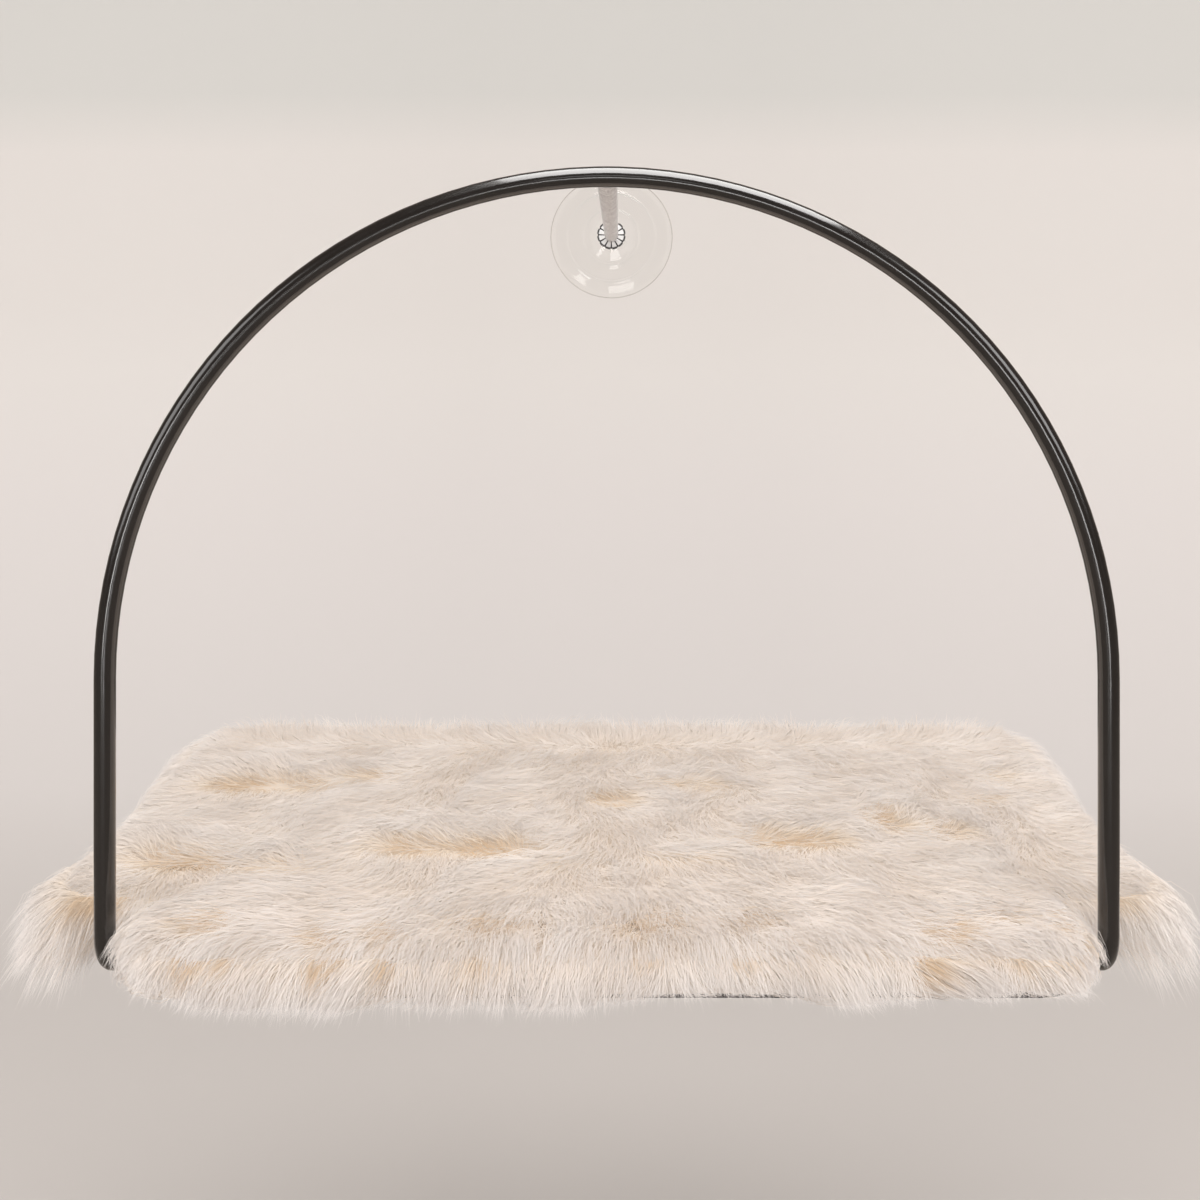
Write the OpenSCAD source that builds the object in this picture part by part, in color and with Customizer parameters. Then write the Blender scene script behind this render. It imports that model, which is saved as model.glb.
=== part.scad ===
// Window mounted cat perch: a bent steel hoop on three suction cups carries a board with a fur mat.
// Millimetres. +X is to the right, +Y is towards the glass and +Z is up.
// The origin lies on the glass, on the centre line, level with the middle of the side runs.

/* [Frame] */
// Outside diameter of the bent frame tube
tube_d = 10; // [8:0.5:11]
// Wall of the frame tube
tube_wall = 1.2; // [1:0.1:1.5]
// Width of the hoop, between the middles of its legs
hoop_w = 485; // [475:1:500]
// Distance from the glass to the middle of the hoop
hoop_reach = 315; // [300:1:330]
// Height of the straight legs above the side runs
leg_h = 143.5; // [100:0.5:180]
// Radius of the bend between a leg and its side run
foot_r = 20; // [15:1:30]
// Radius of the bend between a side run and its tail
tail_bend_r = 20; // [15:1:25]
// Distance from the glass to the middle of the tails
tail_gap = 28; // [26:0.5:31]
// How far a tail reaches below the middle of its cup
tail_over = 15; // [13:1:25]
// Length of the plug of a tail cap, inside the tube
cap_plug_l = 8; // [5:0.5:9]
// Thickness of the flange of a tail cap
cap_flange_t = 1.5; // [1:0.1:3]

/* [Suction cups] */
// Diameter of a cup pressed flat on the glass
cup_d = 92; // [80:1:96]
// Height of a cup, from the glass to the end of its boss
cup_h = 14; // [12:0.5:15]
// Width of the flat sealing lip
cup_lip_w = 4; // [3:0.5:6]
// Thickness of the lip at its rim
cup_rim_t = 1.4; // [1:0.1:2]
// Height of the dish where it meets the boss
cup_dish_h = 6; // [5:0.5:7]
// Depth of the hollow under the pressed cup
cup_hollow_h = 3; // [2:0.5:3.5]
// Diameter of the boss that holds the stud
cup_boss_d = 18; // [16:1:20]
// Diameter of the outer stiffening ring
cup_ring_outer_d = 67; // [60:1:70]
// Diameter of the inner stiffening ring
cup_ring_inner_d = 42; // [36:1:46]
// Thickness of the bead of a stiffening ring
cup_bead_d = 1.6; // [1.2:0.1:2.4]
// How far the lower cups hang below the side runs
cup_drop = 47; // [44:1:55]

/* [Studs, nuts and stem] */
// Diameter of the threaded studs
stud_d = 5; // [4:0.5:5.5]
// Diameter of the stud head moulded into a cup
stud_head_d = 12; // [10:0.5:13]
// Thickness of the stud head
stud_head_t = 2; // [1.5:0.1:2.5]
// Length of a stud that shows past its nut
stud_end_l = 2; // [1:0.5:4]
// Diameter of the fluted lock nut at the upper cup
lock_nut_d = 21; // [18:1:24]
// Thickness of the fluted lock nut
lock_nut_t = 5; // [4:0.5:7]
// Number of flutes around a nut
nut_flutes = 12; // [8:1:16]
// Diameter of a flute
flute_d = 3; // [2:0.1:3.5]
// Width of the radial grooves in a nut's face
face_groove_w = 1.4; // [0.8:0.1:1.6]
// Diameter of a jam nut at a lower cup
jam_nut_d = 14; // [12:0.5:16]
// Thickness of a jam nut
jam_nut_t = 4; // [3:0.5:4.5]
// Diameter of a thumb nut
thumb_nut_d = 18; // [16:0.5:22]
// Thickness of a thumb nut
thumb_nut_t = 8; // [6:0.5:12]
// Diameter of the stem between the hoop and the upper cup
stem_d = 10; // [9:0.5:12]
// Depth of the threaded hole in each end of the stem
stem_hole_l = 20; // [16:1:30]
// Length of a stud inside the stem
stem_stud_l = 15; // [10:1:15]
// Diameter of the curved washer behind the hoop
washer_d = 10.5; // [9.5:0.5:12]
// Thickness of the curved washer behind the tube
washer_t = 2.5; // [2:0.5:4]

/* [Board] */
// How far the board reaches out beside the middle of each leg
board_over = 35.5; // [30:0.5:45]
// Distance from the middle of a leg to the side of the front tongue
tongue_inset = 18.5; // [18:0.5:30]
// Distance from the glass to the rear edge of the board
board_gap = 34; // [32:1:45]
// Distance from the middle of the hoop back to the wide part of the board
notch_back = 30; // [26:1:40]
// How far the tongue reaches out in front of the hoop
tongue_out = 28; // [20:1:40]
// Thickness of the board
board_t = 9; // [8:0.5:12]
// Thickness of the edge band
band_t = 1; // [0.6:0.1:1.5]
// Radius of the tongue corners
tongue_r = 24; // [18:1:30]
// Radius of the other outer corners of the board
board_r = 20; // [15:1:30]
// Radius of the inner corners beside the legs
notch_r = 14; // [13:1:18]
// Distance from the rear edge of the board to the middle of the rear saddles
saddle_rear_inset = 56; // [30:1:80]
// Distance from the front edge of the wide part to the middle of the front saddles
saddle_front_inset = 35; // [20:1:60]
// Width of a saddle along the tube
saddle_w = 14; // [10:1:20]
// Thickness of the saddle strap
strap_t = 1.5; // [1:0.1:2]
// Length of each saddle ear
ear_l = 9; // [8:0.5:12]
// Diameter of the saddle screws
screw_d = 3; // [2.5:0.1:3.5]
// Diameter of the screw heads
screw_head_d = 6.5; // [5.5:0.1:7]
// Height of the screw heads
screw_head_h = 2.2; // [1.8:0.1:3]
// Length of the screws inside the board
screw_l = 6.5; // [5:0.5:6.5]

/* [Mat] */
// Length of a hook and loop strip
strip_l = 140; // [100:1:180]
// Width of a hook and loop strip
strip_w = 25; // [20:1:35]
// Thickness of each half of a hook and loop strip
strip_t = 1; // [0.8:0.1:1.2]
// Distance between the strips from left to right
strip_pitch_x = 240; // [200:1:300]
// Distance between the strips from front to back
strip_pitch_y = 130; // [90:1:160]
// Thickness of the woven backing
backing_t = 0.8; // [0.6:0.1:1.2]
// Thickness of the foam pad
foam_t = 6; // [5:0.5:9]
// Height of the fur above the foam at the middle of the mat
fur_crown_h = 7.6; // [6:0.1:10]
// How far the fur skirt stands out from the board
skirt_out = 12; // [9:0.5:12]
// Height of the skirt hem above the top of the side runs
skirt_clear = 1.5; // [1:0.1:3]
// Height of the main folds and hollows of the fur
fold_h = 4; // [2:0.5:5]

/* [Hidden] */
$fn = 64;

// Clearances: between flat seats, around a turning thread, around a passing stud, around a plug
seat_gap = 0.3;
thread_gap = 0.05;
pass_gap = 0.1;
plug_gap = 0.05;
// How far a cutting shape runs past what it cuts
overrun = 1;

// Frame
tube_r = tube_d / 2;
bore_d = tube_d - 2 * tube_wall;
leg_x = hoop_w / 2;
apex_z = leg_h + leg_x;
tail_drop = cup_drop + tail_over;
run_back = tail_gap + tail_bend_r;
run_front = hoop_reach - foot_r;
left = -1;
right = 1;
side_signs = [left, right];

// Cups, measured from the glass along the axis of the cup
cup_r = cup_d / 2;
lip_inner_r = cup_r - cup_lip_w;
boss_r = cup_boss_d / 2;
stud_head_depth = cup_dish_h;
cup_steps = 12;
hollow_steps = 8;
dish_power = 1.5;

// Upper fixing, measured from the glass
lock_nut_depth = cup_h + seat_gap;
stem_depth = lock_nut_depth + lock_nut_t + seat_gap;
washer_depth = hoop_reach - tube_r - washer_t;
stem_l = washer_depth - seat_gap - stem_depth;
upper_stud_end = stem_depth + stem_stud_l;
apex_stud_l = washer_t + seat_gap + stem_stud_l;

// Lower fixings, measured from the glass
jam_nut_depth = tail_gap - tube_r - seat_gap - jam_nut_t;
thumb_nut_depth = tail_gap + tube_r + seat_gap;
lower_stud_end = thumb_nut_depth + thumb_nut_t + stud_end_l;
flute_out_share = 0.3;
groove_start_share = 0.19;
groove_side = face_groove_w / sqrt(2);
hex_sides = 6;

// Board
board_z = tube_r;
board_top = board_z + board_t;
board_front = hoop_reach + tongue_out;
wide_front = hoop_reach - notch_back;
board_w = hoop_w + 2 * board_over;
tongue_w = hoop_w - 2 * tongue_inset;
saddle_rear = board_gap + saddle_rear_inset;
saddle_front = wide_front - saddle_front_inset;
strip_mid = (board_gap + wide_front) / 2;
corner_steps = 6;
least_r = 0.5;
saddle_gap = 0.2;
saddle_in_r = tube_r + saddle_gap;
saddle_out_r = saddle_in_r + strap_t;
screw_x = saddle_out_r + ear_l / 2;
screw_slot_w = 0.9;
screw_slot_h = 1.1;
saddle_spots = [saddle_front, saddle_rear];

// Mat
loop_z = board_top + seat_gap;
backing_z = loop_z + strip_t;
foam_z = backing_z + backing_t;
foam_top = foam_z + foam_t;
crown_top = foam_top + fur_crown_h;
skirt_z = tube_r + skirt_clear;
skirt_gap = 1.5;
// Outline of the fur at its edge: share of the skirt that stands out, and share of the height
edge_shares = [[0.75, 0], [0.92, 0.15], [1, 0.37], [0.92, 0.6], [0.62, 0.78]];
// Crown of the fur: share of the way in from the board edge to the middle line, and share of the height
crown_shares = [[0, 0.9], [0.06, 0.94], [0.15, 0.96], [0.26, 0.97], [0.38, 0.98], [0.5, 0.99], [0.64, 1],
    [0.78, 1], [0.92, 1]];
// How much narrower the crown gets on its way in to the middle line
crown_narrow_share = 0.45;
fur_corner_steps = 3;
fold_step = 28;
mat_l = board_front - board_gap;
mat_mid_y = -(board_gap + board_front) / 2;
// Folds and hollows of the fur. Shares of half the board's width: middle and half length from left to right.
// Shares of the mat's length: middle, counted forwards from the rear edge, and half width. Last, share of the height.
fold_shares = [
    [-0.74, 0.3, 0.17, 0.055, 0.5], [-0.74, 0.385, 0.16, 0.042, -0.9],
    [-0.29, 0.57, 0.2, 0.055, 0.55], [-0.29, 0.66, 0.19, 0.042, -1],
    [-0.74, 0.64, 0.17, 0.05, 0.45], [-0.74, 0.725, 0.17, 0.042, -0.8],
    [0.36, 0.53, 0.15, 0.055, 0.5], [0.36, 0.625, 0.16, 0.042, -0.9],
    [0.66, 0.49, 0.12, 0.05, 0.45], [0.66, 0.575, 0.12, 0.042, -0.9],
    [0.07, 0.34, 0.16, 0.055, 0.4], [0.07, 0.435, 0.14, 0.045, -0.7],
    [0.86, 0.3, 0.1, 0.05, 0.3], [0.84, 0.385, 0.1, 0.042, -0.6],
    [-0.3, 0.2, 0.25, 0.05, 0.3], [0.45, 0.2, 0.2, 0.05, 0.3],
    [0, 0.88, 0.75, 0.05, 0.3], [-0.35, 0.8, 0.3, 0.045, -0.5], [0.45, 0.8, 0.3, 0.045, -0.5]];

module tube_section() {
    difference() {
        circle(d = tube_d);
        circle(d = bore_d);
    }
}

// One side of the frame, from the open end of the tail to the top of the leg
module frame_side() {
    translate([leg_x, -tail_gap, -tail_drop])
        linear_extrude(tail_drop - tail_bend_r)
            tube_section();
    translate([leg_x, -run_back, -tail_bend_r])
        rotate([90, 0, 90])
            rotate_extrude(angle = 90)
                translate([tail_bend_r, 0])
                    tube_section();
    translate([leg_x, -run_back, 0])
        rotate([90, 0, 0])
            linear_extrude(run_front - run_back)
                tube_section();
    translate([leg_x, -run_front, foot_r])
        rotate([90, 0, 90])
            rotate([0, 0, 180])
                rotate_extrude(angle = 90)
                    translate([foot_r, 0])
                        tube_section();
    translate([leg_x, -hoop_reach, foot_r])
        linear_extrude(leg_h - foot_r)
            tube_section();
}

// The half circle that joins the legs
module arch() {
    translate([0, -hoop_reach, leg_h])
        rotate([90, 0, 0])
            rotate_extrude(angle = 180)
                translate([leg_x, 0])
                    children();
}

// Puts a shape drawn from the glass outwards along +Z at a place on the glass
module on_glass(x, z) {
    translate([x, 0, z])
        rotate([90, 0, 0])
            children();
}

module hoop_frame() {
    color("#2b2624")
        difference() {
            union() {
                frame_side();
                mirror([1, 0, 0])
                    frame_side();
                arch()
                    tube_section();
            }
            for (side = side_signs)
                on_glass(side * leg_x, -cup_drop)
                    translate([0, 0, tail_gap - tube_d])
                        cylinder(d = stud_d + 2 * pass_gap, h = 2 * tube_d);
            on_glass(0, apex_z)
                translate([0, 0, washer_depth])
                    cylinder(d = stud_d, h = washer_t + tube_r);
        }
}

module end_cap(side) {
    color("#1d1b1a")
        translate([side * leg_x, -tail_gap, -tail_drop]) {
            translate([0, 0, -cap_flange_t])
                cylinder(d = tube_d, h = cap_flange_t);
            cylinder(d = bore_d - 2 * plug_gap, h = cap_plug_l);
        }
}

// Height of the dish above the glass, at a distance from the axis
function dish_height(r) = cup_rim_t + (cup_dish_h - cup_rim_t)
    * pow((cup_r - r) / (cup_r - boss_r), dish_power);
function hollow_height(r) = cup_hollow_h * (1 - pow(r / lip_inner_r, 2));
cup_profile = concat(
    [for (i = [0:hollow_steps]) let (r = lip_inner_r * i / hollow_steps) [r, hollow_height(r)]],
    [[cup_r, 0]],
    [for (i = [0:cup_steps]) let (r = cup_r - (cup_r - boss_r) * i / cup_steps) [r, dish_height(r)]],
    [[boss_r, cup_h], [0, cup_h]]);

module cup() {
    color("#dfe6e6", 0.35)
        difference() {
            union() {
                rotate_extrude()
                    polygon(cup_profile);
                for (ring_d = [cup_ring_outer_d, cup_ring_inner_d])
                    rotate_extrude()
                        translate([ring_d / 2, dish_height(ring_d / 2)])
                            circle(d = cup_bead_d, $fn = 24);
            }
            translate([0, 0, stud_head_depth])
                cylinder(d = stud_head_d, h = stud_head_t);
            translate([0, 0, stud_head_depth])
                cylinder(d = stud_d, h = cup_h);
        }
}

// A stud from its head in the cup to its free end, which lies this far from the glass
module stud(end_depth) {
    color("silver")
        translate([0, 0, stud_head_depth]) {
            cylinder(d = stud_head_d, h = stud_head_t);
            cylinder(d = stud_d, h = end_depth - stud_head_depth);
        }
}

module fluted_nut(d, t) {
    color("#c9ccd0")
        difference() {
            cylinder(d = d, h = t);
            for (i = [0:nut_flutes - 1])
                rotate([0, 0, i * 360 / nut_flutes])
                    translate([d / 2 + flute_d * flute_out_share, 0, -overrun])
                        cylinder(d = flute_d, h = t + 2 * overrun, $fn = 24);
            for (i = [0:nut_flutes - 1])
                rotate([0, 0, i * 360 / nut_flutes])
                    translate([d * groove_start_share, 0, t])
                        rotate([45, 0, 0])
                            translate([0, -groove_side / 2, -groove_side / 2])
                                cube([d, groove_side, groove_side]);
            translate([0, 0, -overrun])
                cylinder(d = stud_d + 2 * thread_gap, h = t + 2 * overrun);
        }
}

module hex_nut(d, t) {
    color("#c9ccd0")
        difference() {
            cylinder(d = d, h = t, $fn = hex_sides);
            translate([0, 0, -overrun])
                cylinder(d = stud_d + 2 * thread_gap, h = t + 2 * overrun);
        }
}

module apex_stud() {
    color("silver")
        on_glass(0, apex_z)
            translate([0, 0, washer_depth - seat_gap - stem_stud_l])
                cylinder(d = stud_d, h = apex_stud_l + tube_wall);
}

module stem_washer() {
    color("#e9e6e0")
        difference() {
            on_glass(0, apex_z)
                translate([0, 0, washer_depth])
                    cylinder(d = washer_d, h = washer_t + tube_r / 2);
            arch()
                circle(d = tube_d + 2 * saddle_gap);
            on_glass(0, apex_z)
                translate([0, 0, washer_depth - overrun])
                    cylinder(d = stud_d + 2 * pass_gap, h = tube_d);
        }
}

module upper_stem() {
    color("#e9e6e0")
        on_glass(0, apex_z)
            translate([0, 0, stem_depth])
                difference() {
                    cylinder(d = stem_d, h = stem_l);
                    translate([0, 0, -overrun])
                        cylinder(d = stud_d + 2 * thread_gap, h = stem_hole_l + overrun);
                    translate([0, 0, stem_l - stem_hole_l])
                        cylinder(d = stud_d + 2 * thread_gap, h = stem_hole_l + overrun);
                }
}

module upper_cup() {
    on_glass(0, apex_z)
        cup();
}

module upper_stud() {
    on_glass(0, apex_z)
        stud(upper_stud_end);
}

module upper_lock_nut() {
    on_glass(0, apex_z)
        translate([0, 0, lock_nut_depth])
            fluted_nut(lock_nut_d, lock_nut_t);
}

module lower_cup(side) {
    on_glass(side * leg_x, -cup_drop)
        cup();
}

module lower_stud(side) {
    on_glass(side * leg_x, -cup_drop)
        stud(lower_stud_end);
}

module jam_nut(side) {
    on_glass(side * leg_x, -cup_drop)
        translate([0, 0, jam_nut_depth])
            hex_nut(jam_nut_d, jam_nut_t);
}

module thumb_nut(side) {
    on_glass(side * leg_x, -cup_drop)
        translate([0, 0, thumb_nut_depth])
            fluted_nut(thumb_nut_d, thumb_nut_t);
}

// Points of one rounded corner, from angle a to angle b around its centre
function corner(x, y, r, a, b, steps) =
    [for (i = [0:steps]) let (t = a + (b - a) * i / steps) [x + r * cos(t), y + r * sin(t)]];

// Outline of the board drawn in by d: a wide rear part and a tongue between the legs
function board_outline(d, steps = corner_steps) =
    let (
        tx = tongue_w / 2 - d,
        wx = board_w / 2 - d,
        fy = -board_front + d,
        ny = -wide_front + d,
        by = -board_gap - d,
        tr = max(tongue_r - d, least_r),
        wr = max(board_r - d, least_r),
        nr = max(notch_r + d, least_r)
    )
    concat(
        corner(tx - tr, fy + tr, tr, -90, 0, steps),
        corner(tx + nr, ny - nr, nr, 180, 90, steps),
        corner(wx - wr, ny + wr, wr, -90, 0, steps),
        corner(wx - wr, by - wr, wr, 0, 90, steps),
        corner(wr - wx, by - wr, wr, 90, 180, steps),
        corner(wr - wx, ny + wr, wr, 180, 270, steps),
        corner(-tx - nr, ny - nr, nr, 90, 0, steps),
        corner(tr - tx, fy + tr, tr, 180, 270, steps));

module board_slab(d, z, t) {
    translate([0, 0, z])
        linear_extrude(t)
            polygon(board_outline(d));
}

module screw_places() {
    for (side = side_signs, spot = saddle_spots, ear = side_signs)
        translate([side * leg_x + ear * screw_x, -spot, 0])
            children();
}

// The four hook and loop strips, at a height and of a thickness
module strips(z, t) {
    for (sx = side_signs, sy = side_signs)
        translate([sx * strip_pitch_x / 2 - strip_l / 2, sy * strip_pitch_y / 2 - strip_mid - strip_w / 2, z])
            cube([strip_l, strip_w, t]);
}

module board() {
    color("#3a322e")
        difference() {
            board_slab(band_t, board_z, board_t);
            strips(board_top - strip_t, strip_t + overrun);
            screw_places()
                translate([0, 0, board_z - overrun])
                    cylinder(d = screw_d + 2 * plug_gap, h = screw_l + plug_gap + overrun, $fn = 24);
        }
}

module board_edge_band() {
    color("#2a2422")
        difference() {
            board_slab(0, board_z, board_t);
            board_slab(band_t, board_z - overrun, board_t + 2 * overrun);
        }
}

module hook_strips() {
    color("#20201f")
        strips(board_top - strip_t, strip_t);
}

module loop_strips() {
    color("#d8cfc0")
        strips(loop_z, strip_t);
}

module saddle(side, spot) {
    color("#2b2624")
        translate([side * leg_x, -spot, 0])
            difference() {
                translate([0, saddle_w / 2, 0])
                    rotate([90, 0, 0])
                        linear_extrude(saddle_w)
                            difference() {
                                union() {
                                    circle(r = saddle_out_r);
                                    translate([-saddle_out_r, 0])
                                        square([2 * saddle_out_r, tube_r]);
                                    translate([-saddle_out_r - ear_l, tube_r - strap_t])
                                        square([2 * (saddle_out_r + ear_l), strap_t]);
                                }
                                circle(r = saddle_in_r);
                                translate([-saddle_in_r, 0])
                                    square([2 * saddle_in_r, tube_d]);
                            }
                for (ear = side_signs)
                    translate([ear * screw_x, 0, 0])
                        cylinder(d = screw_d + 2 * pass_gap, h = tube_d, $fn = 24);
            }
}

module saddle_screws() {
    color("#8d8f92")
        screw_places()
            translate([0, 0, board_z - strap_t - screw_head_h])
                difference() {
                    union() {
                        cylinder(d = screw_head_d, h = screw_head_h);
                        cylinder(d = screw_d, h = screw_head_h + strap_t + screw_l, $fn = 24);
                    }
                    for (turn = [0, 90])
                        rotate([0, 0, turn])
                            translate([-screw_head_d / 4, -screw_slot_w / 2, -overrun])
                                cube([screw_head_d / 2, screw_slot_w, screw_slot_h + overrun]);
                }
}

module mat_backing() {
    color("#cfc4b2")
        board_slab(0, backing_z, backing_t);
}

module foam_pad() {
    color("#e8e2c8")
        board_slab(0, foam_z, foam_t);
}

// Outline of the fur drawn in by d, with its long stretches cut into equal steps
fur_base = board_outline(0, fur_corner_steps);
fur_parts = [for (i = [0:len(fur_base) - 1])
    max(1, round(norm(fur_base[(i + 1) % len(fur_base)] - fur_base[i]) / fold_step))];
function fur_outline(d) =
    let (raw = board_outline(d, fur_corner_steps))
    [for (i = [0:len(raw) - 1], j = [0:fur_parts[i] - 1])
        raw[i] + (raw[(i + 1) % len(raw)] - raw[i]) * j / fur_parts[i]];

// Height that the folds and hollows give at a place on the crown
function total(list, i = 0) = i < len(list) ? list[i] + total(list, i + 1) : 0;
function fold_at(x, y) = fold_h * total([for (s = fold_shares)
    s[4] * exp(-pow((x - s[0] * board_w / 2) / (s[2] * board_w / 2), 2)
        - pow((y + board_gap + s[1] * mat_l) / (s[3] * mat_l), 2))]);

// Rings of the fur: down the hollow that takes the pad and the board's edge, out under the hem,
// up the skirt to the edge of the crown and in to its flat middle, each lid a fan about its middle point
fur_h = crown_top - skirt_z;
hollow_rings = [for (z = [foam_top, skirt_z]) [for (p = fur_outline(-skirt_gap)) [p[0], p[1], z]]];
skirt_rings = [for (s = edge_shares) [for (p = fur_outline(-skirt_out * s[0])) [p[0], p[1], skirt_z + fur_h * s[1]]]];
last_ring = len(crown_shares) - 1;
crown_rings = [for (k = [0:last_ring]) let (s = crown_shares[k]) [for (p = fur_outline(0))
    let (x = p[0] * (1 - crown_narrow_share * s[0]), y = p[1] + (mat_mid_y - p[1]) * s[0])
        [x, y, skirt_z + fur_h * s[1] + (k > 0 && k < last_ring ? fold_at(x, y) : 0)]]];

module fur_cover() {
    rings = concat(hollow_rings, skirt_rings, crown_rings);
    n = len(rings[0]);
    top = len(rings) - 1;
    hollow_mid = len(rings) * n;
    crown_mid = hollow_mid + 1;
    points = concat([for (ring = rings, p = ring) p], [[0, mat_mid_y, foam_top], [0, mat_mid_y, crown_top]]);
    sides = [for (k = [0:top - 1], i = [0:n - 1], half = [0, 1])
        let (a = k * n + i, b = k * n + (i + 1) % n)
            half == 0 ? [a, a + n, b + n] : [a, b + n, b]];
    hollow_lid = [for (i = [0:n - 1]) [hollow_mid, i, (i + 1) % n]];
    crown_lid = [for (i = [0:n - 1]) [crown_mid, top * n + (i + 1) % n, top * n + i]];
    color("#f1e6d6")
        polyhedron(points, concat(sides, hollow_lid, crown_lid));
}

hoop_frame();
end_cap(left);  // left_end_cap
end_cap(right);  // right_end_cap
apex_stud();
stem_washer();
upper_stem();
upper_cup();
upper_stud();
upper_lock_nut();
lower_cup(left);  // left_cup
lower_stud(left);  // left_stud
jam_nut(left);  // left_jam_nut
thumb_nut(left);  // left_thumb_nut
lower_cup(right);  // right_cup
lower_stud(right);  // right_stud
jam_nut(right);  // right_jam_nut
thumb_nut(right);  // right_thumb_nut
board();
board_edge_band();
hook_strips();
saddle(left, saddle_front);  // front_left_saddle
saddle(right, saddle_front);  // front_right_saddle
saddle(left, saddle_rear);  // rear_left_saddle
saddle(right, saddle_rear);  // rear_right_saddle
saddle_screws();
loop_strips();
mat_backing();
foam_pad();
fur_cover();
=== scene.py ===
import math

import bpy
import numpy as np
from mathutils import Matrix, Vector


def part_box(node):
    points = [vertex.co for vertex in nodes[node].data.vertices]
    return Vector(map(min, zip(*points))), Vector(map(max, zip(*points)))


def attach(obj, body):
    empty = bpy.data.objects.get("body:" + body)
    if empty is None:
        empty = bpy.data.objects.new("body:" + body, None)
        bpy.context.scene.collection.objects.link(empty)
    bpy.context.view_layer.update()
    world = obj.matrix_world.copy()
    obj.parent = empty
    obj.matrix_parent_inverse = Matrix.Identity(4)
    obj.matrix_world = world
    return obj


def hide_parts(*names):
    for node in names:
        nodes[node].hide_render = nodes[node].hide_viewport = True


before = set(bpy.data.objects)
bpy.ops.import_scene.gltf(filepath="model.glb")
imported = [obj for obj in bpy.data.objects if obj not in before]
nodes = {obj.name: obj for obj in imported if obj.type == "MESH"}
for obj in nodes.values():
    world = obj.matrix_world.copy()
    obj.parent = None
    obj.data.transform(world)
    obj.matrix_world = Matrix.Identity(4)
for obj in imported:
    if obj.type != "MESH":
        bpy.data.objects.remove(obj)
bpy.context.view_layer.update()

# Camera, backdrop and light
# The camera stands level, 560 mm in front of the hoop, and looks at the glass; the frame is shifted down.
# The backdrop is one pale sheet that curves up behind the perch. Three soft boxes light it from above and
# from the sides, and four cards show only as highlights on the tube, the nut and the cups.
PHOTO = 1200
FOCAL_PIXELS = 1159
HORIZON_X, HORIZON_Y = 620, 345
SENSOR = 36
HOOP_Y = -0.315
APEX_Z = 0.386
EYE = (0.0064, HOOP_Y - 0.56, 0.3047)

camera_data = bpy.data.cameras.new("camera")
camera_data.sensor_width = SENSOR
camera_data.lens = FOCAL_PIXELS / PHOTO * SENSOR
camera_data.shift_x = (PHOTO / 2 - HORIZON_X) / PHOTO
camera_data.shift_y = -(PHOTO / 2 - HORIZON_Y) / PHOTO
camera_data.clip_start = 0.02
camera = bpy.data.objects.new("camera", camera_data)
camera.location = EYE
camera.rotation_euler = (math.radians(90), 0, 0)
bpy.context.scene.collection.objects.link(camera)
bpy.context.scene.camera = camera
bpy.context.scene.view_settings.view_transform = "Standard"


def colour(r, g, b):
    """A colour given in the 0 to 255 steps of a screen, as the linear values that a socket takes."""
    steps = [c / 255 for c in (r, g, b)]
    return tuple(c / 12.92 if c <= 0.04045 else ((c + 0.055) / 1.055) ** 2.4 for c in steps) + (1,)


class Sum:
    """A number socket that takes part in Python sums; each operator adds one Math node."""

    def __init__(self, finish, socket):
        self.finish = finish
        self.socket = socket

    def maths(self, operation, *values):
        return Sum(self.finish, self.finish.node("ShaderNodeMath", {"operation": operation}, *values))

    def __add__(self, other):
        return self.maths("ADD", self, other)

    def __sub__(self, other):
        return self.maths("SUBTRACT", self, other)

    def __rsub__(self, other):
        return self.maths("SUBTRACT", other, self)

    def __mul__(self, other):
        return self.maths("MULTIPLY", self, other)

    __radd__ = __add__
    __rmul__ = __mul__

    def __abs__(self):
        return self.maths("ABSOLUTE", self)

    def sine(self):
        return self.maths("SINE", self)


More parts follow.
